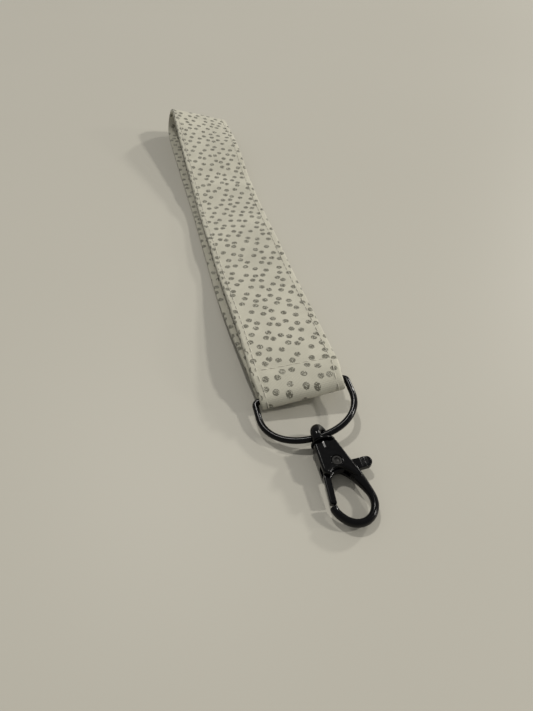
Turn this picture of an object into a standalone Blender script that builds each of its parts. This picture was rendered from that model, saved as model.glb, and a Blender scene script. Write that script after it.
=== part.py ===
"""Wristlet keychain: a looped cotton strap, a D-ring and a swivel lobster clasp.

Frame: metres, +Z up, with the origin on the strap's underside where it lies flat on a
table, halfway along. The strap runs along Y with its far fold at +Y and the clasp at -Y.
+X is the clasp's thumb side. Places below are measured from the strap's ring end.
"""
import math

import bmesh
import bpy
from mathutils import Matrix, Vector

MM = 0.001

ORIGIN_FROM_RING_END = 95.0 * MM
UNDERSIDE_HEIGHT = 0.07 * MM

# Strap: a cotton strip folded round a core, sewn into a loop
STRAP_WIDTH = 25.8 * MM
RING_END_WIDTH = 24.0 * MM
LAYER_THICKNESS = 1.6 * MM
COTTON_THICKNESS = 0.45 * MM
CORE_THICKNESS = 0.5 * MM
CORE_CLEARANCE = 0.1 * MM
CLOSING_SLIT = 0.12 * MM
EDGE_ROUND = 0.5 * MM
SEAM_Y = 12.5 * MM
SEAM_HALF_GROOVE = 0.5 * MM

# Sewing thread, sunk in the cotton
THREAD_RADIUS = 0.13 * MM
THREAD_SINK = 0.15 * MM
GROOVE_DEPTH = 0.36 * MM
GROOVE_WIDTH = 0.8 * MM
EDGE_STITCH_INSET = 2.0 * MM
SEAM_THREAD_HALF = 9.8 * MM

# D-ring
WIRE_RADIUS = 0.9 * MM
RING_HALF_WIDTH = 13.25 * MM
RING_ARC_DEPTH = 10.4 * MM
RING_ARC_POWER = 2.15
RING_SIDE = 5.1 * MM
RING_CORNER = 1.25 * MM
BAR_CENTRE = Vector((0.1, 5.2, 4.95)) * MM
BAR_CLEARANCE = 0.12 * MM
WRAP_SHIFT = Vector((0.12, 0.0, 0.0)) * MM
WRAP_SLACK_RIGHT = 0.9 * MM
RING_ROLL = math.radians(-8.0)
RING_DROP = math.radians(5.0)

# Swivel eye: measured along the clasp's axis, v, from the eye's centre
SWIVEL_ACROSS = 0.85 * MM
SWIVEL_HEIGHT = 0.12 * MM
EYE_RADIUS = 2.95 * MM
EYE_BREADTH = 1.25
EYE_SECTION = 1.1 * MM
EYE_SHIFT = -0.7 * MM
EYE_FOOT = 2.1 * MM
EYE_LEAN = math.radians(-35.0)
SHANK_RADIUS = 1.1 * MM
SHANK_RUNNING_GAP = 0.08 * MM
COLLAR_RADIUS = 3.3 * MM
PEENED_RADIUS = 1.6 * MM

# Clasp body: u is across (thumb side +), v is along, towards the hook
CLASP_DROP = math.radians(3.2)
BODY_THICKNESS = 4.8 * MM
HEAD_RADIUS = 2.4 * MM
HEAD_START = 2.45 * MM
HEAD_END = 5.2 * MM
HEAD_WALL = 1.6 * MM
HOOK_HALF_WIDTH = 1.0 * MM
HOOK_HALF_THICKNESS = 1.3 * MM
SLOT_HALF = 1.05 * MM
LEVER_THICKNESS = 1.9 * MM

# Trigger pivot
PIVOT_U = 2.1 * MM
PIVOT_V = 8.7 * MM
HUB_RADIUS = 2.2 * MM
TAB_END_U = 9.75 * MM
TAB_END_V = 9.9 * MM
TAB_END_RADIUS = 1.45 * MM
RIVET_RADIUS = 0.8 * MM
RIVET_HEAD_RADIUS = 1.3 * MM
RIVET_RUNNING_GAP = 0.06 * MM
RECESS_DEPTH = 0.4 * MM
SPRING_WIRE = 0.15 * MM
SPRING_RADIUS = 1.4 * MM
SPRING_TURNS = 2

# Heights of the loop's two layers at their middle: (y, height, roll with the left side up,
# how far the layer is pushed to the left), in millimetres and degrees
TOP_LAYER = [
    (5.2, 6.75, -8.0, -0.22),
    (7.0, 6.85, -7.0, -0.22),
    (9.5, 7.05, -4.0, -0.22),
    (12.5, 6.9, 0.0, -0.25),
    (18.0, 6.9, 2.5, -0.3),
    (26.0, 6.5, 3.5, -0.4),
    (36.0, 5.85, 3.0, -0.4),
    (48.0, 5.0, 2.0, -0.3),
    (60.0, 4.15, 0.0, -0.2),
    (70.0, 3.85, -1.0, -0.2),
    (80.0, 4.1, 0.0, -0.1),
    (90.0, 3.75, 0.5, 0.0),
    (102.0, 3.3, 0.5, 0.0),
    (112.0, 3.4, 1.5, 0.0),
    (121.0, 4.5, 3.0, 0.0),
    (129.0, 4.8, 4.0, 0.0),
    (138.0, 6.4, 3.0, 0.0),
    (150.0, 8.1, 2.0, 0.0),
    (160.0, 9.0, 5.0, 0.0),
    (170.0, 9.7, 9.0, 0.0),
    (182.0, 10.3, 13.0, 0.2),
]
BOTTOM_LAYER = [
    (5.2, 3.15, -8.0, -0.22),
    (7.0, 3.4, -7.5, -0.22),
    (9.5, 4.2, -4.0, -0.22),
    (12.5, 5.1, 0.0, -0.25),
    (18.0, 4.65, 2.5, 0.3),
    (26.0, 3.8, 3.0, 0.8),
    (36.0, 2.6, 2.0, 1.4),
    (48.0, 1.55, 1.0, 1.9),
    (60.0, 1.05, 0.0, 2.1),
    (80.0, 0.87, 0.0, 2.1),
    (110.0, 0.87, 0.0, 2.1),
    (140.0, 0.87, 0.0, 2.6),
    (165.0, 0.87, 0.0, 3.0),
    (182.0, 0.87, 0.0, 3.0),
]
FOLD_START = 182.0 * MM
FOLD_SKEW = 2.6 * MM
SKEW_FROM = 120.0 * MM
FOLD_DEPTH_LEFT = 7.0 * MM
FOLD_DEPTH_RIGHT = 3.8 * MM
TOP_STATIONS = 30
BOTTOM_STATIONS = 19
FOLD_SEGMENTS = 8
WRAP_SEGMENTS = 8


def clear_scene():
    for old in list(bpy.data.objects):
        bpy.data.objects.remove(old, do_unlink=True)


def make_collection(name):
    group = bpy.data.collections.new(name)
    bpy.context.scene.collection.children.link(group)
    return group


def make_material(name, colour, roughness, metallic):
    material = bpy.data.materials.new(name)
    material.use_nodes = True
    shader = material.node_tree.nodes["Principled BSDF"]
    shader.inputs["Base Color"].default_value = (*colour, 1.0)
    shader.inputs["Roughness"].default_value = roughness
    shader.inputs["Metallic"].default_value = metallic
    return material


def add_object(name, mesh, group, material=None, place=None):
    thing = bpy.data.objects.new(name, mesh)
    group.objects.link(thing)
    if material:
        mesh.materials.append(material)
    if place is not None:
        thing.matrix_world = place
    return thing


def add_empty(name, group, place):
    pivot = bpy.data.objects.new(name, None)
    pivot.empty_display_size = 4.0 * MM
    pivot.matrix_world = place
    group.objects.link(pivot)
    return pivot


def put_on(thing, pivot, place):
    """Parent a piece to its pivot and set where it stands in the world."""
    thing.parent = pivot
    thing.matrix_parent_inverse = pivot.matrix_world.inverted()
    thing.matrix_world = place


def shade(mesh, angle=35.0):
    for face in mesh.polygons:
        face.use_smooth = True
    mesh.set_sharp_from_angle(angle=math.radians(angle))


def apply_modifiers(thing):
    """Replace a piece's mesh by its evaluated one, and drop its modifiers."""
    bpy.context.view_layer.update()
    graph = bpy.context.evaluated_depsgraph_get()
    mesh = bpy.data.meshes.new_from_object(thing.evaluated_get(graph))
    thing.modifiers.clear()
    thing.data = mesh
    return mesh


def weld(mesh, distance=0.001 * MM):
    work = bmesh.new()
    work.from_mesh(mesh)
    bmesh.ops.remove_doubles(work, verts=work.verts, dist=distance)
    bmesh.ops.recalc_face_normals(work, faces=work.faces)
    work.to_mesh(mesh)
    work.free()


def curve_to_mesh(curve_object, name, group, material=None):
    """Turn a curve into a closed mesh object in the same place."""
    bpy.context.view_layer.update()
    graph = bpy.context.evaluated_depsgraph_get()
    mesh = bpy.data.meshes.new_from_object(curve_object.evaluated_get(graph))
    place = curve_object.matrix_world.copy()
    bpy.data.objects.remove(curve_object, do_unlink=True)
    weld(mesh)
    thing = add_object(name, mesh, group, None, place)
    mesh.materials.clear()
    if material:
        mesh.materials.append(material)
    return thing


def wire_curve(name, points, radius, closed, resolution, group, material=None):
    data = bpy.data.curves.new(name, "CURVE")
    data.dimensions = "3D"
    data.bevel_depth = radius
    data.bevel_resolution = resolution
    data.use_fill_caps = not closed
    spline = data.splines.new("POLY")
    spline.points.add(len(points) - 1)
    for slot, point in zip(spline.points, points):
        slot.co = (*point, 1.0)
    spline.use_cyclic_u = closed
    if material:
        data.materials.append(material)
    thing = bpy.data.objects.new(name, data)
    group.objects.link(thing)
    return thing


def flat_outline(name, outline, half_thickness, group):
    """A flat closed outline, given twice the half thickness."""
    data = bpy.data.curves.new(name, "CURVE")
    data.dimensions = "2D"
    data.fill_mode = "BOTH"
    data.extrude = half_thickness
    spline = data.splines.new("POLY")
    spline.points.add(len(outline) - 1)
    for slot, (across, along) in zip(spline.points, outline):
        slot.co = (across, -along, 0.0, 1.0)
    spline.use_cyclic_u = True
    thing = bpy.data.objects.new(name, data)
    group.objects.link(thing)
    return curve_to_mesh(thing, name, group)


def turned(name, profile, group, material=None, steps=20):
    """A piece turned about its own Z axis; the profile runs down its outer side."""
    mesh = bpy.data.meshes.new(name)
    edges = [(i, i + 1) for i in range(len(profile) - 1)]
    mesh.from_pydata([(radius, 0.0, height) for radius, height in profile], edges, [])
    thing = add_object(name, mesh, group)
    screw = thing.modifiers.new("turn", "SCREW")
    screw.steps = steps
    screw.render_steps = steps
    screw.use_merge_vertices = True
    screw.merge_threshold = 0.0005 * MM
    mesh = apply_modifiers(thing)
    weld(mesh)
    if material:
        mesh.materials.append(material)
    return thing


def boolean(thing, other, operation):
    change = thing.modifiers.new(operation.lower(), "BOOLEAN")
    change.operation = operation
    change.object = other
    change.solver = "EXACT"
    apply_modifiers(thing)


def cut(thing, cutter):
    cutter.hide_render = True
    cutter.display_type = "WIRE"
    boolean(thing, cutter, "DIFFERENCE")


def join(thing, other):
    boolean(thing, other, "UNION")
    bpy.data.objects.remove(other, do_unlink=True)


def bevel(thing, width, segments=1, angle=40.0):
    rounding = thing.modifiers.new("round", "BEVEL")
    rounding.width = width
    rounding.segments = segments
    rounding.limit_method = "ANGLE"
    rounding.angle_limit = math.radians(angle)
    apply_modifiers(thing)


def smooth_through(points, count):
    """Evenly spaced points on a smooth curve through the given 2-D points."""
    sizes = [math.dist(a, b) for a, b in zip(points, points[1:])]
    total = sum(sizes)
    result = []
    for step in range(count):
        reach = total * step / (count - 1)
        index = 0
        while index < len(sizes) - 1 and reach > sizes[index]:
            reach -= sizes[index]
            index += 1
        t = min(1.0, reach / sizes[index])
        before = points[max(0, index - 1)]
        start = points[index]
        end = points[index + 1]
        after = points[min(len(points) - 1, index + 2)]
        result.append(tuple(hermite(a, b, c, d, t) for a, b, c, d in zip(before, start, end, after)))
    return result


def hermite(before, start, end, after, t):
    slope_in = (end - before) / 2
    slope_out = (after - start) / 2
    cube = t * t * t
    square = t * t
    value = (2 * cube - 3 * square + 1) * start + (cube - 2 * square + t) * slope_in
    return value + (3 * square - 2 * cube) * end + (cube - square) * slope_out


def smooth_step(value, low, high):
    t = min(1.0, max(0.0, (value - low) / (high - low)))
    return t * t * (3 - 2 * t)


def layer_at(table, y):
    """Height, roll and left push of a strap layer at a place along it (metres, radians)."""
    rows = [(row[0] * MM, row[1] * MM, math.radians(row[2]), row[3] * MM) for row in table]
    index = 0
    while index < len(rows) - 2 and y > rows[index + 1][0]:
        index += 1
    start, end = rows[index], rows[index + 1]
    t = min(1.0, max(0.0, (y - start[0]) / (end[0] - start[0])))
    values = []
    for column in (1, 2, 3):
        span = end[0] - start[0]
        slope_in = slope_at(rows, index, column) * span
        slope_out = slope_at(rows, index + 1, column) * span
        cube = t * t * t
        square = t * t
        value = (2 * cube - 3 * square + 1) * start[column] + (cube - 2 * square + t) * slope_in
        value += (3 * square - 2 * cube) * end[column] + (cube - square) * slope_out
        values.append(value)
    return values


def slope_at(rows, index, column):
    low = rows[max(0, index - 1)]
    high = rows[min(len(rows) - 1, index + 1)]
    return (high[column] - low[column]) / (high[0] - low[0])


def half_width(y):
    narrow = RING_END_WIDTH / 2
    return narrow + (STRAP_WIDTH / 2 - narrow) * smooth_step(y, 5.0 * MM, 12.0 * MM)


def layer_edges(table, y):
    """Left and right edge points of a layer's middle surface."""
    height, roll, push = layer_at(table, y)
    half = half_width(y)
    skew = FOLD_SKEW * smooth_step(y, SKEW_FROM, FOLD_START)
    left = Vector((-push - half * math.cos(roll), y + skew, height + half * math.sin(roll)))
    right = Vector((-push + half * math.cos(roll), y - skew, height - half * math.sin(roll)))
    return left, right


def wrap_edges(angle):
    """Edge points where the strap turns round the ring's bar, looser at its right end."""
    reach = WIRE_RADIUS + BAR_CLEARANCE + LAYER_THICKNESS / 2
    half = RING_END_WIDTH / 2
    side = Matrix.Rotation(RING_ROLL, 3, "Y") @ Vector((half, 0.0, 0.0))
    upward = Matrix.Rotation(RING_ROLL, 3, "Y") @ Vector((0.0, 0.0, 1.0))
    middle = BAR_CENTRE + WRAP_SHIFT + reach * math.sin(angle) * upward
    edges = []
    for way, slack in ((-1.0, 0.0), (1.0, WRAP_SLACK_RIGHT)):
        forward = (reach + slack) * math.cos(angle)
        edges.append(middle + way * side + Vector((0.0, forward, 0.0)))
    return edges[0], edges[1]


def fold_edges(t):
    """Edge points round the far fold, from the top layer (t = 0) to the bottom one (t = 1)."""
    top = layer_edges(TOP_LAYER, FOLD_START)
    bottom = layer_edges(BOTTOM_LAYER, FOLD_START)
    edges = []
    for high, low, depth in zip(top, bottom, (FOLD_DEPTH_LEFT, FOLD_DEPTH_RIGHT)):
        middle = (high + low) / 2
        rise = (high - low) / 2
        edges.append(middle + rise * math.cos(math.pi * t) + Vector((0, depth, 0)) * math.sin(math.pi * t))
    return edges


def run_places(first, last, count):
    """Places along a run, with a tight group at the seam for its groove."""
    even = [first + (last - first) * (i + 1) / (count + 1) for i in range(count)]
    seam = [SEAM_Y - SEAM_HALF_GROOVE, SEAM_Y, SEAM_Y + SEAM_HALF_GROOVE]
    away = [y for y in even if abs(y - SEAM_Y) > 3.0 * MM]
    near = [SEAM_Y - 7.2 * MM, SEAM_Y - 5.0 * MM, SEAM_Y - 2.5 * MM, SEAM_Y + 2.5 * MM]
    away = [y for y in away if all(abs(y - other) > 1.5 * MM for other in near)]
    return sorted(away + seam + near)


def loop_stations():
    """The strap loop as (left edge, right edge, seam groove 0 or 1), once round."""
    stations = []
    for step in range(WRAP_SEGMENTS + 1):
        angle = -math.pi / 2 - math.pi * step / WRAP_SEGMENTS
        stations.append((*wrap_edges(angle), 0.0))
    for y in run_places(BAR_CENTRE.y, FOLD_START, TOP_STATIONS):
        stations.append((*layer_edges(TOP_LAYER, y), float(abs(y - SEAM_Y) < 0.01 * MM)))
    for step in range(FOLD_SEGMENTS + 1):
        stations.append((*fold_edges(step / FOLD_SEGMENTS), 0.0))
    for y in reversed(run_places(BAR_CENTRE.y, FOLD_START, BOTTOM_STATIONS)):
        stations.append((*layer_edges(BOTTOM_LAYER, y), float(abs(y - SEAM_Y) < 0.01 * MM)))
    return stations


def station_frames(stations):
    """Each station's edges with its outward normals and seam mark."""
    frames = []
    count = len(stations)
    for index, (left, right, seam) in enumerate(stations):
        before = stations[index - 1]
        after = stations[(index + 1) % count]
        across = right - left
        normals = []
        for side in (0, 1):
            along = after[side] - before[side]
            normals.append(across.cross(along).normalized())
        frames.append((left, right, normals[0], normals[1], seam))
    return frames


def on_strap(frame, across, out):
    """A point at a distance across from the strap's middle and out from its middle surface."""
    left, right, normal_left, normal_right, _ = frame
    half = (right - left).length / 2
    t = 0.5 + across / (2 * half)
    normal = normal_left.lerp(normal_right, t).normalized()
    return left.lerp(right, t) + normal * out


def cotton_section(half, seam):
    """The folded cotton strip cut across: a C with its slit at the left edge."""
    out = LAYER_THICKNESS / 2
    dip = out - GROOVE_DEPTH * seam
    lip = CLOSING_SLIT / 2
    cavity = CORE_THICKNESS / 2 + CORE_CLEARANCE
    cavity_half = half - COTTON_THICKNESS - 0.05 * MM
    stitch = half - EDGE_STITCH_INSET
    groove = GROOVE_WIDTH / 2
    bottom = out - GROOVE_DEPTH
    outer = [(-half, lip), (-half, out - EDGE_ROUND), (-half + EDGE_ROUND, out)]
    outer += [(-stitch - groove, out), (-stitch, bottom), (-stitch + groove, dip)]
    outer += [(stitch - groove, dip), (stitch, bottom), (stitch + groove, out)]
    outer += [(half - EDGE_ROUND, out), (half, out - EDGE_ROUND)]
    inner = [(half, -out + EDGE_ROUND), (half - EDGE_ROUND, -out)]
    inner += [(stitch + groove, -out), (stitch, -bottom), (stitch - groove, -out)]
    inner += [(-stitch + groove, -out), (-stitch, -bottom), (-stitch - groove, -out)]
    inner += [(-half + EDGE_ROUND, -out), (-half, -out + EDGE_ROUND), (-half, -lip)]
    hollow = [(-cavity_half, -lip), (-cavity_half, -cavity), (cavity_half, -cavity)]
    hollow += [(cavity_half, cavity), (-cavity_half, cavity), (-cavity_half, lip)]
    return outer + inner + hollow


def core_section(half, seam):
    reach = half - COTTON_THICKNESS - 0.05 * MM - CORE_CLEARANCE
    thick = CORE_THICKNESS / 2
    return [(-reach, thick), (reach, thick), (reach, -thick), (-reach, -thick)]


def loft_loop(name, frames, section, group, material):
    """Join a section's copies at each station into one closed band.

    The strap twists, so every face is split along the diagonal that leans the same way,
    and nested surfaces stay parallel.
    """
    points = []
    for frame in frames:
        half = (frame[1] - frame[0]).length / 2
        points += [on_strap(frame, across, out) for across, out in section(half, frame[4])]
    spread = [across for across, _ in section(STRAP_WIDTH / 2, 0.0)]
    size = len(spread)
    faces = []
    for ring in range(len(frames)):
        here = ring * size
        ahead = (ring + 1) % len(frames) * size
        for corner in range(size):
            beside = (corner + 1) % size
            if spread[corner] <= spread[beside]:
                faces.append((here + corner, here + beside, ahead + beside))
                faces.append((here + corner, ahead + beside, ahead + corner))
            else:
                faces.append((here + corner, here + beside, ahead + corner))
                faces.append((here + beside, ahead + beside, ahead + corner))
    mesh = bpy.data.meshes.new(name)
    mesh.from_pydata(points, [], faces)
    weld(mesh, 0.0001 * MM)
    shade(mesh, 50.0)
    return add_object(name, mesh, group, material)


def make_strap(group, cotton, webbing):
    frames = station_frames(loop_stations())
    loft_loop("fabric_cover", frames, cotton_section, group, cotton)
    loft_loop("strap_core", frames, core_section, group, webbing)
    return frames


def make_edge_threads(frames, group, thread):
    """Needle thread on the loop's outside and bobbin thread inside, along both edges."""
    sunk = LAYER_THICKNESS / 2 - THREAD_SINK
    for side_name, side in (("left", -1.0), ("right", 1.0)):
        for face_name, face in (("needle", 1.0), ("bobbin", -1.0)):
            points = []
            for frame in frames:
                half = (frame[1] - frame[0]).length / 2
                points.append(on_strap(frame, side * (half - EDGE_STITCH_INSET), face * sunk))
            name = f"edge_{face_name}_thread_{side_name}"
            wire_curve(name, points, THREAD_RADIUS, True, 0, group, thread)


def make_seam_threads(frames, group, thread):
    """The cross seam that closes the loop behind the ring: one thread on each face."""
    seams = [frame for frame in frames if frame[4] > 0.5]
    sunk = LAYER_THICKNESS / 2 - THREAD_SINK
    for name, frame in zip(("seam_needle_thread", "seam_bobbin_thread"), seams):
        reach = SEAM_THREAD_HALF
        points = [on_strap(frame, reach * step / 4, sunk) for step in range(-4, 5)]
        wire_curve(name, points, THREAD_RADIUS, False, 0, group, thread)


def ring_outline():
    """The D-ring's centre line in its own plane, from the bar's middle round."""
    points = []
    for step in range(4):
        angle = math.pi / 2 * (1 - step / 3)
        x = RING_HALF_WIDTH - RING_CORNER + RING_CORNER * math.cos(angle)
        y = -RING_CORNER + RING_CORNER * math.sin(angle)
        points.append((x, y))
    arc_steps = 24
    for step in range(arc_steps + 1):
        angle = math.pi * step / arc_steps
        power = 2 / RING_ARC_POWER
        x = RING_HALF_WIDTH * math.copysign(abs(math.cos(angle)) ** power, math.cos(angle))
        y = -RING_SIDE - RING_ARC_DEPTH * math.sin(angle) ** power
        points.append((x, y))
    for step in range(4):
        angle = math.pi - math.pi / 2 * step / 3
        x = -RING_HALF_WIDTH + RING_CORNER + RING_CORNER * math.cos(angle)
        y = -RING_CORNER + RING_CORNER * math.sin(angle)
        points.append((x, y))
    return points


def ring_place():
    turn = Matrix.Rotation(RING_ROLL, 4, "Y") @ Matrix.Rotation(RING_DROP, 4, "X")
    return Matrix.Translation(BAR_CENTRE) @ turn


def make_ring(group, black):
    pivot = add_empty("ring_pivot", group, ring_place())
    points = [(x, y, 0.0) for x, y in ring_outline()]
    ring = wire_curve("d_ring", points, WIRE_RADIUS, True, 2, group, black)
    put_on(ring, pivot, ring_place())
    return pivot


def clasp_place():
    """The clasp's own frame, level with the middle of the ring's arc."""
    middle = ring_place() @ Vector((0.0, -RING_SIDE - RING_ARC_DEPTH, 0.0))
    return Matrix.Translation(middle) @ Matrix.Rotation(CLASP_DROP, 4, "X")


def swivel_offset():
    """The swivel's axis runs up the middle of the clasp body's top."""
    return Matrix.Translation((SWIVEL_ACROSS, 0.0, SWIVEL_HEIGHT))


def eye_place():
    """The eye's centre is on the ring's wire."""
    return clasp_place() @ swivel_offset()


def make_eye(group, cutters, black, ring_pivot):
    """An eye cast in one with its shank, whose end is peened over inside the clasp."""
    place = eye_place()
    bpy.ops.mesh.primitive_torus_add(major_radius=EYE_RADIUS, minor_radius=EYE_SECTION,
                                     major_segments=20, minor_segments=8)
    eye = bpy.context.active_object
    eye.name = "swivel_eye"
    for owner in list(eye.users_collection):
        owner.objects.unlink(eye)
    group.objects.link(eye)
    eye.data.transform(Matrix.Scale(EYE_BREADTH, 4, (0, 0, 1)))
    eye.data.transform(Matrix.Translation((0, EYE_SHIFT, 0)) @ Matrix.Rotation(math.pi / 2, 4, "Y"))
    bpy.ops.mesh.primitive_cube_add(size=12.0 * MM, location=(0, -EYE_FOOT - 6.0 * MM, 0))
    foot = bpy.context.active_object
    foot.name = "eye_foot_cutter"
    for owner in list(foot.users_collection):
        owner.objects.unlink(foot)
    cutters.objects.link(foot)
    cut(eye, foot)
    start = EYE_FOOT - 0.3 * MM
    throat = HEAD_START + HEAD_WALL + SHANK_RUNNING_GAP
    end = throat + 0.9 * MM
    top = HEAD_START - SHANK_RUNNING_GAP
    profile = [(0.0, -start), (COLLAR_RADIUS - 0.3 * MM, -start), (COLLAR_RADIUS, -start - 0.3 * MM)]
    profile += [(COLLAR_RADIUS, -top), (SHANK_RADIUS, -top), (SHANK_RADIUS, -throat)]
    profile += [(PEENED_RADIUS, -throat), (PEENED_RADIUS, -end + 0.2 * MM)]
    profile += [(PEENED_RADIUS - 0.3 * MM, -end), (0.0, -end)]
    shank = turned("eye_shank", profile, group, None, 16)
    shank.data.transform(Matrix.Rotation(-math.pi / 2, 4, "X"))
    join(eye, shank)
    weld(eye.data)
    eye.data.transform(Matrix.Rotation(EYE_LEAN, 4, "Y"))
    eye.data.materials.clear()
    eye.data.materials.append(black)
    shade(eye.data)
    pivot = add_empty("eye_pivot", group, place)
    pivot.parent = ring_pivot
    pivot.matrix_parent_inverse = ring_pivot.matrix_world.inverted()
    put_on(eye, pivot, place)
    return pivot


def scaled(points):
    return [(across * MM, along * MM) for across, along in points]


def arch(first, last, rise, count):
    """Points on a low arch between two places on a flat outline."""
    points = []
    for step in range(count + 1):
        t = step / count
        across = first[0] + (last[0] - first[0]) * t
        along = first[1] + (last[1] - first[1]) * t - rise * math.sin(math.pi * t)
        points.append((across, along))
    return points


def body_outline():
    """Both side plates: straight on the gate side, flaring out to the hook's back."""
    points = [(-2.1, 2.7), (3.8, 2.7), (5.5, 8.5), (7.1, 13.2), (7.0, 14.0)]
    points += arch((5.6, 13.8), (-0.7, 12.1), 2.5, 6)
    points += [(-2.1, 10.7)]
    return scaled(points)


def hook_line():
    """The hook's centre line, from inside the body's back round to its tip."""
    points = [(6.0, 11.6), (6.8, 14.0), (7.8, 16.6), (8.2, 18.9), (7.9, 21.2), (6.6, 23.3)]
    points += [(4.5, 24.5), (2.1, 24.6), (0.2, 23.6), (-1.2, 22.0), (-1.95, 20.5), (-2.1, 19.5)]
    return smooth_through(scaled(points), 24)


def slot_outline():
    """Room between the plates for the trigger, open to the tab, the gate and the hook."""
    points = [(-4.5, 9.0), (-2.3, 9.0), (-0.9, 8.1), (-0.9, 6.4), (0.6, 6.2), (3.0, 5.8)]
    points += [(9.0, 5.0), (9.0, 11.8), (4.6, 11.8), (4.2, 15.0), (-4.5, 15.0)]
    return scaled(points)


def cylinder(name, radius, length, group, segments=20):
    bpy.ops.mesh.primitive_cylinder_add(vertices=segments, radius=radius, depth=length)
    thing = bpy.context.active_object
    thing.name = name
    for owner in list(thing.users_collection):
        owner.objects.unlink(thing)
    group.objects.link(thing)
    return thing


def make_body(group, cutters, black, eye_pivot):
    """The die-cast clasp: two plates, a round head for the eye's shank, and the hook."""
    body = flat_outline("clasp_body", body_outline(), BODY_THICKNESS / 2, group)
    bevel(body, 0.6 * MM, 1)
    head = cylinder("clasp_head", HEAD_RADIUS, HEAD_END - HEAD_START, group)
    bevel(head, 0.4 * MM, 1)
    turn = Matrix.Rotation(math.pi / 2, 4, "X")
    swivel = swivel_offset()
    head.data.transform(swivel @ Matrix.Translation((0, -(HEAD_START + HEAD_END) / 2, 0)) @ turn)
    join(body, head)
    hook_points = [(across, -along, 0.0) for across, along in hook_line()]
    hook = wire_curve("clasp_hook", hook_points, HOOK_HALF_WIDTH, False, 2, group)
    hook = curve_to_mesh(hook, "clasp_hook", group)
    hook.data.transform(Matrix.Scale(HOOK_HALF_THICKNESS / HOOK_HALF_WIDTH, 4, (0, 0, 1)))
    join(body, hook)
    slot = flat_outline("slot_cutter", slot_outline(), SLOT_HALF, cutters)
    cut(body, slot)
    throat_end = HEAD_START + HEAD_WALL
    bore = cylinder("shank_cutter", SHANK_RADIUS + SHANK_RUNNING_GAP, 6.0 * MM, cutters, 16)
    bore.data.transform(swivel @ Matrix.Translation((0, -throat_end, 0)) @ turn)
    cut(body, bore)
    room_radius = PEENED_RADIUS + 0.15 * MM
    room_length = 3.0 * MM
    room = cylinder("peened_end_cutter", room_radius, room_length, cutters, 16)
    room.data.transform(swivel @ Matrix.Translation((0, -throat_end - room_length / 2, 0)) @ turn)
    cut(body, room)
    here = Matrix.Translation((PIVOT_U, -PIVOT_V, 0))
    hole = cylinder("rivet_cutter", RIVET_RADIUS + RIVET_RUNNING_GAP, 8.0 * MM, cutters, 16)
    hole.data.transform(here)
    cut(body, hole)
    for side in (1.0, -1.0):
        recess = cylinder("recess_cutter", RIVET_HEAD_RADIUS + 0.1 * MM, 2.0 * MM, cutters, 20)
        height = side * (BODY_THICKNESS / 2 - RECESS_DEPTH + 1.0 * MM)
        recess.data.transform(here @ Matrix.Translation((0, 0, height)))
        cut(body, recess)
    weld(body.data)
    body.data.materials.clear()
    body.data.materials.append(black)
    shade(body.data)
    pivot = add_empty("clasp_pivot", group, eye_place())
    pivot.parent = eye_pivot
    pivot.matrix_parent_inverse = eye_pivot.matrix_world.inverted()
    put_on(body, pivot, clasp_place())
    return pivot


def lever_outline():
    """The trigger: a round hub, a straight gate down to the hook's tip, and a thumb tab."""
    hub = []
    for step in range(7):
        angle = math.radians(165 - 20 * step)
        across = PIVOT_U + HUB_RADIUS * math.cos(angle)
        hub.append((across / MM, (PIVOT_V - HUB_RADIUS * math.sin(angle)) / MM))
    tab = [(5.2, 8.6), (7.0, 8.55), (9.4, 8.45)]
    for step in range(5):
        angle = math.radians(75 - 37.5 * step)
        across = TAB_END_U + TAB_END_RADIUS * math.cos(angle)
        tab.append((across / MM, (TAB_END_V - TAB_END_RADIUS * math.sin(angle)) / MM))
    tab += [(7.5, 11.45), (5.2, 11.5), (4.0, 10.9), (2.6, 10.9)]
    gate = [(0.8, 11.2), (-0.5, 12.4), (-1.1, 19.1), (-2.75, 18.65), (-2.2, 12.0), (-1.6, 9.4)]
    return scaled(hub + tab + gate)


def lever_place():
    return clasp_place() @ Matrix.Translation((PIVOT_U, -PIVOT_V, 0))


def make_lever(group, cutters, black, clasp_pivot):
    lever = flat_outline("trigger_lever", lever_outline(), LEVER_THICKNESS / 2, group)
    bevel(lever, 0.35 * MM, 1)
    lever.data.transform(Matrix.Translation((-PIVOT_U, PIVOT_V, 0)))
    bore = cylinder("lever_bore_cutter", RIVET_RADIUS + RIVET_RUNNING_GAP, 8.0 * MM, cutters, 16)
    cut(lever, bore)
    pocket = cylinder("spring_pocket_cutter", SPRING_RADIUS + SPRING_WIRE + 0.15 * MM, 2.0 * MM, cutters, 20)
    pocket.data.transform(Matrix.Translation((0, 0, 1.0 * MM - 0.05 * MM)))
    cut(lever, pocket)
    mouth = []
    for degrees in (68, 94, 122):
        angle = math.radians(degrees)
        mouth.append((3.2 * MM * math.cos(angle), -3.2 * MM * math.sin(angle)))
    mouth = [(0.0, 0.0)] + mouth
    notch = flat_outline("spring_mouth_cutter", mouth, 1.0 * MM, cutters)
    notch.data.transform(Matrix.Translation((0, 0, 1.0 * MM - 0.05 * MM)))
    cut(lever, notch)
    weld(lever.data)
    lever.data.materials.clear()
    lever.data.materials.append(black)
    shade(lever.data)
    pivot = add_empty("trigger_pivot", group, lever_place())
    pivot.parent = clasp_pivot
    pivot.matrix_parent_inverse = clasp_pivot.matrix_world.inverted()
    put_on(lever, pivot, lever_place())


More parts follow.
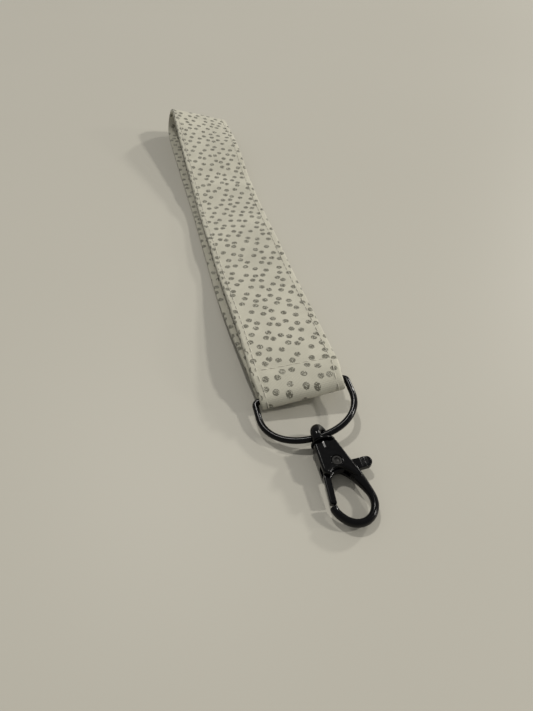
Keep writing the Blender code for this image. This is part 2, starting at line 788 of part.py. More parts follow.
def make_rivet(group, steel, clasp_pivot):
    top = BODY_THICKNESS / 2 - 0.1 * MM
    neck = BODY_THICKNESS / 2 - RECESS_DEPTH + 0.06 * MM
    profile = [(0.0, top - 0.35 * MM), (0.6 * MM, top - 0.3 * MM), (0.75 * MM, top)]
    profile += [(RIVET_HEAD_RADIUS - 0.15 * MM, top), (RIVET_HEAD_RADIUS, top - 0.1 * MM)]
    profile += [(RIVET_HEAD_RADIUS, neck), (RIVET_RADIUS, neck)]
    profile += [(radius, -height) for radius, height in reversed(profile)]
    rivet = turned("trigger_rivet", profile, group, steel, 20)
    shade(rivet.data)
    put_on(rivet, clasp_pivot, lever_place())


def make_spring(group, steel, clasp_pivot):
    """A torsion spring round the rivet: one leg on the head block, one in the lever."""
    per_turn = 12
    start = math.radians(112)
    points = []
    leg = Vector((math.cos(start), math.sin(start), 0.0))
    across = Vector((-math.sin(start), math.cos(start), 0.0))
    base = 0.15 * MM
    foot = SPRING_RADIUS * leg + Vector((0, 0, base))
    points.append(foot + leg * 1.1 * MM)
    points.append(foot + leg * 0.35 * MM - across * 0.05 * MM)
    pitch = 2 * SPRING_WIRE + 0.03 * MM
    for step in range(SPRING_TURNS * per_turn - 2):
        angle = start - 2 * math.pi * (step + 0.8) / per_turn
        height = base + pitch * step / per_turn
        points.append(Vector((SPRING_RADIUS * math.cos(angle), SPRING_RADIUS * math.sin(angle), height)))
    spring = wire_curve("trigger_spring", points, SPRING_WIRE, False, 0, group, steel)
    put_on(spring, clasp_pivot, lever_place())


def move_to_origin(group):
    """Hang every piece and top pivot on one empty, placed at the strap's ring end."""
    ring_end = add_empty("ring_end", group, Matrix.Identity(4))
    for thing in group.objects:
        if thing.parent is None and thing is not ring_end:
            thing.parent = ring_end
    ring_end.location = (0.0, -ORIGIN_FROM_RING_END, -UNDERSIDE_HEIGHT)


def build():
    clear_scene()
    group = make_collection("wristlet_keychain")
    cutters = make_collection("cutters")
    cotton = make_material("cotton_print", (0.62, 0.60, 0.52), 0.9, 0.0)
    webbing = make_material("core_webbing", (0.75, 0.73, 0.68), 0.95, 0.0)
    thread = make_material("sewing_thread", (0.72, 0.70, 0.62), 0.7, 0.0)
    black = make_material("black_coat", (0.012, 0.012, 0.012), 0.22, 0.0)
    steel = make_material("dark_steel", (0.05, 0.05, 0.05), 0.35, 0.9)
    frames = make_strap(group, cotton, webbing)
    make_edge_threads(frames, group, thread)
    make_seam_threads(frames, group, thread)
    ring_pivot = make_ring(group, black)
    eye_pivot = make_eye(group, cutters, black, ring_pivot)
    clasp_pivot = make_body(group, cutters, black, eye_pivot)
    make_lever(group, cutters, black, clasp_pivot)
    make_rivet(group, steel, clasp_pivot)
    make_spring(group, steel, clasp_pivot)
    move_to_origin(group)


build()
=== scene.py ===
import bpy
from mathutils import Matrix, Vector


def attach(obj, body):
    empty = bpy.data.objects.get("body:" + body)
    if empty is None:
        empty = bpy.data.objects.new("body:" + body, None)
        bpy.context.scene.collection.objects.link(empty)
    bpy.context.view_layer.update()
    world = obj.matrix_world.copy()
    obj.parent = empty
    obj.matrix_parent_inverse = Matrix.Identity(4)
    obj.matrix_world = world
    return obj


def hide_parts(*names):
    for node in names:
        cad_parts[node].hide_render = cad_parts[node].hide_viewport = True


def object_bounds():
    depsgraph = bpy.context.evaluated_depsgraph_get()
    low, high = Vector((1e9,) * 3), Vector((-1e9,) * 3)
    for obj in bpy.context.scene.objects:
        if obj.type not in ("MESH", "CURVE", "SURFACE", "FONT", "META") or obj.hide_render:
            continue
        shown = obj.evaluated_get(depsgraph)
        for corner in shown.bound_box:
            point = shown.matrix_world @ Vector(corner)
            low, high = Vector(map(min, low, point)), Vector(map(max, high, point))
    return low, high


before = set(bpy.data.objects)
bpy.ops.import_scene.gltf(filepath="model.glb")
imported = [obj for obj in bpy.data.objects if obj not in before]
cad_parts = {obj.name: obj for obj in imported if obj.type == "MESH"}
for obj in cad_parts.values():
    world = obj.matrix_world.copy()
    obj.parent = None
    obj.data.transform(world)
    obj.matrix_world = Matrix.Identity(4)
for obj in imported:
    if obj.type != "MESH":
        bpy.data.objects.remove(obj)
"""Wristlet keychain: a dotted cotton strap, a D-ring and a black swivel clasp.

Metres, +Z up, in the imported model's frame: the origin is on the strap's underside, halfway
along, +Y runs to the strap's far fold and the clasp lies along -Y.
"""
import math

import bmesh
import bpy
from mathutils import Matrix, Vector, noise

cad_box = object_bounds()

MM = 0.001
RING_END = Vector((0.0, -95.0, -0.07)) * MM

# Strap
STRAP_WIDTH = 25.8 * MM
RING_END_WIDTH = 24.0 * MM
LAYER_THICKNESS = 1.6 * MM
EDGE_STITCH_INSET = 2.0 * MM
SEAM_Y = 12.5 * MM
STITCH_PITCH = 2.6 * MM
STITCH_RADIUS = 0.13 * MM
STITCH_RISE = 0.10 * MM
STITCH_DIP = 0.34 * MM
STEPS_PER_STITCH = 8
SEAM_REACH = 9.8 * MM
TOP_LAYER = (
    (5.2, 6.75, -8.0, -0.22), (7.0, 6.85, -7.0, -0.22), (9.5, 7.05, -4.0, -0.22),
    (12.5, 6.9, 0.0, -0.25), (18.0, 6.9, 2.5, -0.3), (26.0, 6.5, 3.5, -0.4),
    (36.0, 5.85, 3.0, -0.4), (48.0, 5.0, 2.0, -0.3), (60.0, 4.15, 0.0, -0.2),
    (70.0, 3.85, -1.0, -0.2), (80.0, 4.1, 0.0, -0.1), (90.0, 3.75, 0.5, 0.0),
    (102.0, 3.3, 0.5, 0.0), (112.0, 3.4, 1.5, 0.0), (121.0, 4.5, 3.0, 0.0),
    (129.0, 4.8, 4.0, 0.0), (138.0, 6.4, 3.0, 0.0), (150.0, 8.1, 2.0, 0.0),
    (160.0, 9.0, 5.0, 0.0), (170.0, 9.7, 9.0, 0.0), (182.0, 10.3, 13.0, 0.2),
)
BOTTOM_LAYER = (
    (5.2, 3.15, -8.0, -0.22), (7.0, 3.4, -7.5, -0.22), (9.5, 4.2, -4.0, -0.22),
    (12.5, 5.1, 0.0, -0.25), (18.0, 4.65, 2.5, 0.3), (26.0, 3.8, 3.0, 0.8),
    (36.0, 2.6, 2.0, 1.4), (48.0, 1.55, 1.0, 1.9), (60.0, 1.05, 0.0, 2.1),
    (80.0, 0.87, 0.0, 2.1), (110.0, 0.87, 0.0, 2.1), (140.0, 0.87, 0.0, 2.6),
    (165.0, 0.87, 0.0, 3.0), (182.0, 0.87, 0.0, 3.0),
)
FOLD_START = 182.0 * MM
FOLD_SKEW = 2.6 * MM
SKEW_FROM = 120.0 * MM
FOLD_DEPTHS = (7.0 * MM, 3.8 * MM)
CLOTH_SHEET = 0.4
CAMERA_HEADING = -13.9

# Ring and clasp
BAR_CENTRE = Vector((0.1, 5.2, 4.95)) * MM
WIRE_RADIUS = 0.9 * MM
BAR_CLEARANCE = 0.12 * MM
WRAP_SHIFT = Vector((0.12, 0.0, 0.0)) * MM
WRAP_SLACK_RIGHT = 0.9 * MM
RING_ROLL = math.radians(-8.0)
RING_DROP = math.radians(5.0)
RING_HALF_WIDTH = 13.25 * MM
RING_ARC_DEPTH = 10.4 * MM
RING_ARC_POWER = 2.15
RING_SIDE = 5.1 * MM
RING_CORNER = 1.25 * MM
CLASP_DROP = math.radians(3.2)
SWIVEL = Vector((0.85, 0.0, 0.12)) * MM
EYE_RADIUS = 2.95 * MM
EYE_BREADTH = 1.25
EYE_SECTION = 1.1 * MM
EYE_SHIFT = -0.7 * MM
EYE_FOOT = 2.1 * MM
EYE_LEAN = math.radians(-35.0)
SHANK_RADIUS = 1.1 * MM
COLLAR_RADIUS = 3.3 * MM
PEENED_RADIUS = 1.6 * MM
HEAD_RADIUS = 2.4 * MM
HEAD_START = 2.45 * MM
HEAD_END = 5.2 * MM
HEAD_WALL = 1.6 * MM
BODY_THICKNESS = 4.8 * MM
SLOT_HALF = 1.05 * MM
LEVER_THICKNESS = 1.9 * MM
PIVOT = (2.1 * MM, 8.7 * MM)
RIVET_RADIUS = 0.8 * MM
RIVET_HEAD_RADIUS = 1.3 * MM
HUB_RADIUS = 2.2
TAB_END = (9.75, 9.9)
TAB_END_RADIUS = 1.45


# ---------------------------------------------------------------- strap shape

def smooth_step(value, low, high):
    t = min(1.0, max(0.0, (value - low) / (high - low)))
    return t * t * (3 - 2 * t)


def slope_at(rows, index, column):
    low = rows[max(0, index - 1)]
    high = rows[min(len(rows) - 1, index + 1)]
    return (high[column] - low[column]) / (high[0] - low[0])


def layer_at(table, y):
    """Height, roll and left push of a strap layer at a place along it."""
    place = y / MM
    index = 0
    while index < len(table) - 2 and place > table[index + 1][0]:
        index += 1
    start, end = table[index], table[index + 1]
    span = end[0] - start[0]
    t = min(1.0, max(0.0, (place - start[0]) / span))
    values = []
    for column in (1, 2, 3):
        slope_in = slope_at(table, index, column) * span
        slope_out = slope_at(table, index + 1, column) * span
        value = (2 * t**3 - 3 * t**2 + 1) * start[column] + (t**3 - 2 * t**2 + t) * slope_in
        value += (3 * t**2 - 2 * t**3) * end[column] + (t**3 - t**2) * slope_out
        values.append(value)
    return values[0] * MM, math.radians(values[1]), values[2] * MM


def half_width(y):
    narrow = RING_END_WIDTH / 2
    return narrow + (STRAP_WIDTH / 2 - narrow) * smooth_step(y, 5.0 * MM, 12.0 * MM)


def layer_edges(table, y):
    height, roll, push = layer_at(table, y)
    half = half_width(y)
    skew = FOLD_SKEW * smooth_step(y, SKEW_FROM, FOLD_START)
    across, up = half * math.cos(roll), half * math.sin(roll)
    return Vector((-push - across, y + skew, height + up)), Vector((-push + across, y - skew, height - up))


def wrap_edges(angle):
    """Where the strap turns round the ring's bar, looser at its right end."""
    reach = WIRE_RADIUS + BAR_CLEARANCE + LAYER_THICKNESS / 2
    turn = Matrix.Rotation(RING_ROLL, 3, "Y")
    side = turn @ Vector((RING_END_WIDTH / 2, 0.0, 0.0))
    middle = BAR_CENTRE + WRAP_SHIFT + reach * math.sin(angle) * (turn @ Vector((0.0, 0.0, 1.0)))
    left = middle - side + Vector((0.0, reach * math.cos(angle), 0.0))
    right = middle + side + Vector((0.0, (reach + WRAP_SLACK_RIGHT) * math.cos(angle), 0.0))
    return left, right


def fold_edges(t):
    top = layer_edges(TOP_LAYER, FOLD_START)
    bottom = layer_edges(BOTTOM_LAYER, FOLD_START)
    edges = []
    for high, low, depth in zip(top, bottom, FOLD_DEPTHS):
        swing = (high - low) / 2 * math.cos(math.pi * t) + Vector((0, depth, 0)) * math.sin(math.pi * t)
        edges.append((high + low) / 2 + swing)
    return edges[0], edges[1]


def strap_loop():
    """The strap's left and right edges once round: under the bar, along the top, back below."""
    start = BAR_CENTRE.y
    length = FOLD_START - start
    edges = [wrap_edges(-math.pi / 2 - math.pi * step / 14) for step in range(15)]
    edges += [layer_edges(TOP_LAYER, start + length * (step + 1) / 161) for step in range(160)]
    edges += [fold_edges(step / 20) for step in range(21)]
    edges += [layer_edges(BOTTOM_LAYER, start + length * (120 - step) / 121) for step in range(120)]
    for _ in range(3):
        edges = [tuple((edges[i - 1][side] + 2 * edge[side] + edges[(i + 1) % len(edges)][side]) / 4
                       for side in (0, 1)) for i, edge in enumerate(edges)]
    return [(left + RING_END, right + RING_END) for left, right in edges]


def loop_frames(edges):
    """Each station's edges, its outward normals at both edges, and its distance along."""
    frames = []
    along = 0.0
    for index, (left, right) in enumerate(edges):
        before, after = edges[index - 1], edges[(index + 1) % len(edges)]
        across = right - left
        normals = [across.cross(after[side] - before[side]).normalized() for side in (0, 1)]
        if index:
            along += ((left + right) / 2 - (before[0] + before[1]) / 2).length
        frames.append((left, right, normals[0], normals[1], along))
    return frames


def on_strap(station, across, out):
    """A point at a distance across from the strap's middle and out from its middle surface."""
    left, right, normal_left, normal_right, _ = station
    t = 0.5 + across / (right - left).length
    return left.lerp(right, t) + normal_left.lerp(normal_right, t).normalized() * out


def strap_section(half):
    """(across, out, distance round) round the folded cotton, from the top face's left edge."""
    top = LAYER_THICKNESS / 2
    points = []
    flat = half - 0.75 * top
    for step in range(23):
        points.append((-flat + 2 * flat * step / 22, top))
    for step in range(1, 6):
        angle = math.pi / 2 - math.pi * step / 6
        points.append((flat + 0.75 * top * math.cos(angle), top * math.sin(angle)))
    for step in range(23):
        points.append((flat - 2 * flat * step / 22, -top))
    for step in range(1, 8):
        angle = -math.pi / 2 - math.pi * step / 8
        reach = 0.75 * top * (0.55 if step == 4 else 1.0)
        points.append((-flat + reach * math.cos(angle), top * math.sin(angle)))
    section = []
    round_way = 0.0
    for index, (across, out) in enumerate(points):
        if index:
            round_way += math.dist((across, out), points[index - 1])
        section.append((across, out, round_way))
    return section


def cloth_swell(across, out, half, along, seams):
    """How far the cotton stands out from its flat shape: seams dip, and the edges pucker."""
    side = 1.0 if out > 0 else -1.0
    place = Vector((across / (7 * MM), along / (9 * MM), side * 3.0))
    swell = 0.10 * MM * noise.noise(place) + 0.04 * MM * noise.noise(place * 3.1)
    stitch = half - EDGE_STITCH_INSET
    row = math.exp(-((abs(across) - stitch) / (0.42 * MM)) ** 2)
    pull = 0.6 + 0.4 * math.cos(2 * math.pi * along / STITCH_PITCH)
    swell -= 0.10 * MM * row * pull
    ripple = math.sin(2 * math.pi * along / (2 * STITCH_PITCH))
    swell += 0.05 * MM * smooth_step(abs(across), stitch, half) * ripple
    for seam in seams:
        gap = along - seam
        swell -= 0.42 * MM * math.exp(-(gap / (0.5 * MM)) ** 2)
        swell += 0.14 * MM * math.exp(-((abs(gap) - 1.6 * MM) / (0.9 * MM)) ** 2)
        pucker = math.exp(-(gap / (4.0 * MM)) ** 2)
        swell += 0.20 * MM * pucker * noise.noise(Vector((across / (1.6 * MM), along / (7 * MM), side)))
    return swell


def stitch_rise(step):
    """How far the thread stands above the cotton, dipping into it once a stitch."""
    dip = max(0.0, math.cos(2 * math.pi * step / STEPS_PER_STITCH)) ** 2
    return STITCH_RISE - STITCH_DIP * dip


def stitch_row(name, frames, side, face, seams):
    """A row of stitches beside an edge: one thread that rises and dips back into the cotton."""
    points = []
    length = frames[-1][4]
    stitches = round(length / STITCH_PITCH)
    index = 0
    steps = stitches * STEPS_PER_STITCH
    for step in range(steps):
        along = length * step / steps
        while index < len(frames) - 2 and along > frames[index + 1][4]:
            index += 1
        start, end = frames[index], frames[index + 1]
        t = (along - start[4]) / (end[4] - start[4])
        station = tuple(start[i].lerp(end[i], t) for i in range(4)) + (along,)
        half = (station[1] - station[0]).length / 2
        across = side * (half - EDGE_STITCH_INSET)
        surface = LAYER_THICKNESS / 2 + cloth_swell(across, face, half, along, seams)
        points.append(on_strap(station, across, face * (surface + stitch_rise(step))))
    return smooth(wire(name, points, STITCH_RADIUS, closed=True, rounding=1))


def seam_row(name, frames, seam, seams):
    """The stitches across the strap that close the loop."""
    index = min(range(len(frames)), key=lambda i: abs(frames[i][4] - seam))
    station = frames[index]
    half = (station[1] - station[0]).length / 2
    points = []
    for step in range(65):
        across = SEAM_REACH * (step / 32 - 1)
        surface = LAYER_THICKNESS / 2 + cloth_swell(across, 1.0, half, station[4], seams)
        points.append(on_strap(station, across, surface + stitch_rise(step)))
    return smooth(wire(name, points, STITCH_RADIUS, rounding=1))


def seam_places(frames):
    """How far along the loop the cross seam passes the top and the bottom layer."""
    found = []
    for before, after in zip(frames, frames[1:]):
        y_before = (before[0] + before[1]).y / 2 - RING_END.y - SEAM_Y
        y_after = (after[0] + after[1]).y / 2 - RING_END.y - SEAM_Y
        if y_before * y_after <= 0:
            found.append(before[4] + (after[4] - before[4]) * y_before / (y_before - y_after))
    return found


def strap_cloth(frames, seams):
    """The cotton cover as one closed band, with its print laid out flat in the UV map."""
    mesh = bpy.data.meshes.new("cotton_strap")
    points, rounds = [], []
    for station in frames:
        half = (station[1] - station[0]).length / 2
        section = strap_section(half)
        rounds.append([entry[2] for entry in section])
        for across, out, _ in section:
            top = LAYER_THICKNESS / 2
            lift = cloth_swell(across, out, half, station[4], seams) if abs(out) > 0.9 * top else 0.0
            points.append(on_strap(station, across, out + math.copysign(lift, out * lift) if lift else out))
    size = len(rounds[0])
    count = len(frames)
    faces = []
    for ring in range(count):
        for corner in range(size):
            beside = (corner + 1) % size
            ahead = (ring + 1) % count * size
            faces.append((ring * size + corner, ring * size + beside, ahead + beside, ahead + corner))
    mesh.from_pydata(points, [], faces)
    layer = mesh.uv_layers.new(name="cloth")
    length = frames[-1][4] + ((frames[0][0] + frames[0][1]) / 2 - (frames[-1][0] + frames[-1][1]) / 2).length
    for index, face in enumerate(mesh.polygons):
        ring, corner = divmod(index, size)
        ways = []
        for step_ring, step_corner in ((0, 0), (0, 1), (1, 1), (1, 0)):
            row = (ring + step_ring) % count
            along = length if ring + step_ring == count else frames[row][4]
            column = corner + step_corner
            around = rounds[row][column] if column < size else rounds[row][-1] + 0.3 * MM
            ways.append((around / CLOTH_SHEET, along / CLOTH_SHEET))
        for loop, way in zip(face.loop_indices, ways):
            layer.data[loop].uv = way
    cloth = bpy.data.objects.new("cotton_strap", mesh)
    bpy.context.scene.collection.objects.link(cloth)
    work = bmesh.new()
    work.from_mesh(mesh)
    bmesh.ops.recalc_face_normals(work, faces=work.faces)
    work.to_mesh(mesh)
    work.free()
    for face in mesh.polygons:
        face.use_smooth = True
    return cloth


# ---------------------------------------------------------------- ring and clasp shapes

def ring_place():
    turn = Matrix.Rotation(RING_ROLL, 4, "Y") @ Matrix.Rotation(RING_DROP, 4, "X")
    return Matrix.Translation(BAR_CENTRE + RING_END) @ turn


def clasp_place():
    """The clasp's own frame: +X towards the thumb tab, -Y towards the hook, +Z its front."""
    middle = ring_place() @ Vector((0.0, -RING_SIDE - RING_ARC_DEPTH, 0.0))
    return Matrix.Translation(middle) @ Matrix.Rotation(CLASP_DROP, 4, "X")


def clear_selection():
    bpy.ops.object.select_all(action="DESELECT")


def only(thing):
    clear_selection()
    thing.select_set(True)
    bpy.context.view_layer.objects.active = thing
    return thing


def apply_all(thing):
    only(thing)
    for modifier in list(thing.modifiers):
        bpy.ops.object.modifier_apply(modifier=modifier.name)
    return thing


def smooth(thing):
    only(thing)
    bpy.ops.object.shade_smooth()
    return thing


def merge_points(thing):
    work = bmesh.new()
    work.from_mesh(thing.data)
    bmesh.ops.remove_doubles(work, verts=work.verts, dist=0.002 * MM)
    bmesh.ops.recalc_face_normals(work, faces=work.faces)
    work.to_mesh(thing.data)
    work.free()


def through(points, count):
    """Evenly spaced points on a smooth line through the given ones."""
    points = [Vector(point) for point in points]
    sizes = [(b - a).length for a, b in zip(points, points[1:])]
    total = sum(sizes)
    result = []
    for step in range(count):
        reach = total * step / (count - 1)
        index = 0
        while index < len(sizes) - 1 and reach > sizes[index]:
            reach -= sizes[index]
            index += 1
        t = min(1.0, reach / sizes[index])
        start, end = points[index], points[index + 1]
        slope_in = (end - points[max(0, index - 1)]) / 2
        slope_out = (points[min(len(points) - 1, index + 2)] - start) / 2
        spot = (2 * t**3 - 3 * t**2 + 1) * start + (t**3 - 2 * t**2 + t) * slope_in
        result.append(spot + (3 * t**2 - 2 * t**3) * end + (t**3 - t**2) * slope_out)
    return result


def wire(name, points, radius, closed=False, radii=None, rounding=5):
    """A round wire along a line, as a mesh; radii scales its thickness at each point."""
    data = bpy.data.curves.new(name, "CURVE")
    data.dimensions = "3D"
    data.bevel_depth = radius
    data.bevel_resolution = rounding
    data.use_fill_caps = not closed
    spline = data.splines.new("POLY")
    spline.points.add(len(points) - 1)
    for index, point in enumerate(points):
        spline.points[index].co = (*point, 1.0)
        spline.points[index].radius = radii[index] if radii else 1.0
    spline.use_cyclic_u = closed
    thing = bpy.data.objects.new(name, data)
    bpy.context.scene.collection.objects.link(thing)
    only(thing)
    bpy.ops.object.convert(target="MESH")
    merge_points(thing)
    return thing


def plate(name, outline, low, high):
    """A flat plate of the given outline (across, along in millimetres), extruded in Z."""
    bpy.ops.mesh.primitive_circle_add(vertices=len(outline), radius=MM, fill_type="NGON")
    thing = bpy.context.active_object
    thing.name = name
    for point, (across, along) in zip(thing.data.vertices, outline):
        point.co = (across * MM, -along * MM, low)
    only(thing)
    bpy.ops.object.mode_set(mode="EDIT")
    bpy.ops.mesh.select_all(action="SELECT")
    bpy.ops.mesh.extrude_region_move(TRANSFORM_OT_translate={"value": (0.0, 0.0, high - low)})
    bpy.ops.mesh.select_all(action="SELECT")
    bpy.ops.mesh.normals_make_consistent(inside=False)
    bpy.ops.object.mode_set(mode="OBJECT")
    return thing


def barrel(name, radius, low, high, middle=(0.0, 0.0), along_clasp=False, segments=48):
    """A round bar standing in Z, or along the clasp from one distance to another."""
    bpy.ops.mesh.primitive_cylinder_add(vertices=segments, radius=radius, depth=high - low)
    thing = bpy.context.active_object
    thing.name = name
    if along_clasp:
        move = Matrix.Translation((middle[0], -(low + high) / 2, middle[1]))
        thing.data.transform(move @ Matrix.Rotation(math.pi / 2, 4, "X"))
    else:
        thing.data.transform(Matrix.Translation((middle[0], -middle[1], (low + high) / 2)))
    return thing


def round_edges(thing, width, segments=3):
    rounding = thing.modifiers.new("round", "BEVEL")
    rounding.width = width
    rounding.segments = segments
    rounding.limit_method = "ANGLE"
    rounding.angle_limit = math.radians(40)
    return apply_all(thing)


def carve(thing, cutter):
    hollow = thing.modifiers.new("carve", "BOOLEAN")
    hollow.operation = "DIFFERENCE"
    hollow.solver = "EXACT"
    hollow.object = cutter
    apply_all(thing)
    bpy.data.objects.remove(cutter, do_unlink=True)
    return thing


def fuse(thing, others):
    """Join pieces that were cast in one."""
    clear_selection()
    for other in others:
        other.select_set(True)
    thing.select_set(True)
    bpy.context.view_layer.objects.active = thing
    bpy.ops.object.join()
    return thing


def cast(thing, grain, softening):
    """Melt joined pieces into one skin with the soft corners of a casting."""
    skin = thing.modifiers.new("skin", "REMESH")
    skin.mode = "VOXEL"
    skin.voxel_size = grain
    soften = thing.modifiers.new("soften", "SMOOTH")
    soften.factor = 0.5
    soften.iterations = softening
    return smooth(apply_all(thing))


def put(thing, place):
    thing.data.transform(place)
    return thing


def make_ring():
    outline = []
    for step in range(9):
        angle = math.pi / 2 * (1 - step / 8)
        across = RING_HALF_WIDTH - RING_CORNER + RING_CORNER * math.cos(angle)
        outline.append((across, -RING_CORNER + RING_CORNER * math.sin(angle)))
    for step in range(81):
        angle = math.pi * step / 80
        power = 2 / RING_ARC_POWER
        across = RING_HALF_WIDTH * math.copysign(abs(math.cos(angle)) ** power, math.cos(angle))
        outline.append((across, -RING_SIDE - RING_ARC_DEPTH * math.sin(angle) ** power))
    outline += [(-across, along) for across, along in reversed(outline[:9])]
    ring = wire("ring_wire", [(x, y, 0.0) for x, y in outline], WIRE_RADIUS, closed=True)
    return put(smooth(ring), ring_place())


def make_eye():
    bpy.ops.mesh.primitive_torus_add(major_radius=EYE_RADIUS, minor_radius=EYE_SECTION,
                                     major_segments=72, minor_segments=28)
    eye = bpy.context.active_object
    eye.name = "cast_eye"
    eye.data.transform(Matrix.Scale(EYE_BREADTH, 4, (0, 0, 1)))
    eye.data.transform(Matrix.Translation((0, EYE_SHIFT, 0)) @ Matrix.Rotation(math.pi / 2, 4, "Y"))
    eye.data.transform(Matrix.Rotation(EYE_LEAN, 4, "Y"))
    carve(eye, barrel("foot", 6 * MM, EYE_FOOT, EYE_FOOT + 6 * MM, along_clasp=True))
    start = EYE_FOOT - 0.3 * MM
    collar = barrel("collar", COLLAR_RADIUS, start, HEAD_START - 0.08 * MM, along_clasp=True)
    round_edges(collar, 0.2 * MM)
    throat = HEAD_START + HEAD_WALL + 0.08 * MM
    shank = barrel("shank", SHANK_RADIUS, start, throat + 0.4 * MM, along_clasp=True)
    peened = barrel("peened", PEENED_RADIUS, throat, throat + 0.9 * MM, along_clasp=True)
    round_edges(peened, 0.2 * MM)
    fuse(eye, [collar, shank, peened])
    return put(cast(eye, 0.09 * MM, 4), clasp_place() @ Matrix.Translation(SWIVEL))


def arch(first, last, rise, count):
    points = []
    for step in range(count + 1):
        t = step / count
        across = first[0] + (last[0] - first[0]) * t
        points.append((across, first[1] + (last[1] - first[1]) * t - rise * math.sin(math.pi * t)))
    return points


def make_body():
    """The clasp body: two plates, the swivel's head and a hook that tapers from their side."""
    half = BODY_THICKNESS / 2
    lip = arch((5.6, 13.8), (-0.7, 12.1), 2.5, 16)
    outline = [(-2.1, 2.7), (3.8, 2.7), (5.5, 8.5), (7.1, 13.2), (7.0, 14.0)] + lip + [(-2.1, 10.7)]
    body = round_edges(plate("cast_body", outline, -half, half), 0.5 * MM)
    room = [(-4.5, 9.0), (-2.3, 9.0), (-0.9, 8.1), (-0.9, 6.4), (0.6, 6.2), (3.0, 5.8),
            (9.0, 5.0), (9.0, 11.8), (4.6, 11.8), (4.2, 15.0), (-4.5, 15.0)]
    top = (SWIVEL.x, SWIVEL.z)
    head = round_edges(barrel("head", HEAD_RADIUS, HEAD_START, HEAD_END, top, True), 0.35 * MM)
    line = [(5.4, 10.8), (6.2, 13.2), (7.3, 16.2), (7.95, 18.9), (7.7, 21.2), (6.5, 23.2),
            (4.5, 24.45), (2.2, 24.55), (0.25, 23.6), (-1.15, 22.0), (-1.9, 20.6), (-2.1, 19.5)]
    spots = through([(across * MM, -along * MM, 0.0) for across, along in line], 90)
    taper = [1.0 + 0.75 * (1 - smooth_step(step / 89, 0.0, 0.34)) for step in range(90)]
    hook = wire("hook", spots, 1.0 * MM, radii=taper)
    hook.data.transform(Matrix.Scale(1.3, 4, (0, 0, 1)))
    rims = []
    for name, height in (("rim", half - 0.12 * MM), ("back_rim", -half + 0.12 * MM)):
        line = [(u * MM, -v * MM, height) for u, v in arch((5.9, 13.1), (-0.9, 11.5), 2.5, 30)]
        rims.append(wire(name, line, 0.24 * MM))
    fuse(body, [head, hook] + rims)
    skin = body.modifiers.new("skin", "REMESH")
    skin.mode = "VOXEL"
    skin.voxel_size = 0.12 * MM
    apply_all(body)
    carve(body, plate("room", room, -SLOT_HALF, SLOT_HALF))
    throat = HEAD_START + HEAD_WALL
    carve(body, barrel("bore", SHANK_RADIUS + 0.1 * MM, HEAD_START - 1 * MM, throat + 1 * MM, top, True))
    carve(body, barrel("peen_room", PEENED_RADIUS + 0.17 * MM, throat, throat + 3 * MM, top, True))
    carve(body, barrel("pin_hole", RIVET_RADIUS + 0.08 * MM, -4 * MM, 4 * MM, PIVOT))
    for low, high in ((half - 0.4 * MM, half + 1 * MM), (-half - 1 * MM, -half + 0.4 * MM)):
        carve(body, barrel("recess", RIVET_HEAD_RADIUS + 0.14 * MM, low, high, PIVOT))
    return put(cast(body, 0.11 * MM, 5), clasp_place())


def make_lever():
    """The trigger: a hub on the pin, a straight gate down to the hook's tip and a ribbed tab."""
    pivot = (PIVOT[0] / MM, PIVOT[1] / MM)
    outline = []
    for step in range(19):
        angle = math.radians(165 - 120 * step / 18)
        outline.append((pivot[0] + HUB_RADIUS * math.cos(angle), pivot[1] - HUB_RADIUS * math.sin(angle)))
    outline += [(5.2, 8.6), (7.0, 8.55), (9.4, 8.45)]
    for step in range(13):
        angle = math.radians(75 - 150 * step / 12)
        across = TAB_END[0] + TAB_END_RADIUS * math.cos(angle)
        outline.append((across, TAB_END[1] - TAB_END_RADIUS * math.sin(angle)))
    outline += [(7.5, 11.45), (5.2, 11.5), (4.0, 10.9), (2.6, 10.9)]
    outline += [(0.8, 11.2), (-0.5, 12.4), (-1.1, 19.1), (-2.75, 18.65), (-2.2, 12.0), (-1.6, 9.4)]
    half = LEVER_THICKNESS / 2
    lever = round_edges(plate("cast_lever", outline, -half, half), 0.3 * MM)
    skin = lever.modifiers.new("skin", "REMESH")
    skin.mode = "VOXEL"
    skin.voxel_size = 0.1 * MM
    apply_all(lever)
    for across in (8.5, 9.6):
        groove = barrel("groove", 0.5 * MM, 7.5 * MM, 12.5 * MM, (across * MM, half + 0.36 * MM), True, 24)
        carve(lever, groove)
    carve(lever, barrel("pin_hole", RIVET_RADIUS + 0.08 * MM, -3 * MM, 3 * MM, PIVOT))
    carve(lever, barrel("spring_room", 1.72 * MM, -0.05 * MM, 2 * MM, PIVOT))
    mouth = [pivot]
    for angle in (math.radians(68), math.radians(94), math.radians(122)):
        mouth.append((pivot[0] + 3.2 * math.cos(angle), pivot[1] - 3.2 * math.sin(angle)))
    carve(lever, plate("spring_mouth", mouth, -0.05 * MM, 2 * MM))
    return put(cast(lever, 0.1 * MM, 3), clasp_place())


# ---------------------------------------------------------------- materials

def new_material(name):
    material = bpy.data.materials.new(name)
    material.use_nodes = True
    nodes = material.node_tree.nodes
    return material, nodes, material.node_tree.links, nodes["Principled BSDF"]


def add_node(nodes, kind, **settings):
    node = nodes.new(kind)
    for name, value in settings.items():
        if name in node.inputs:
            node.inputs[name].default_value = value
        else:
            setattr(node, name, value)
    return node


def maths(nodes, links, operation, first, second=None, clamp=False):
    node = nodes.new("ShaderNodeMath")
    node.operation = operation
    node.use_clamp = clamp
    for socket, value in zip(node.inputs, (first, second)):
        if value is None:
            continue
        if hasattr(value, "is_output"):
            links.new(value, socket)
        else:
            socket.default_value = value
    return node.outputs[0]


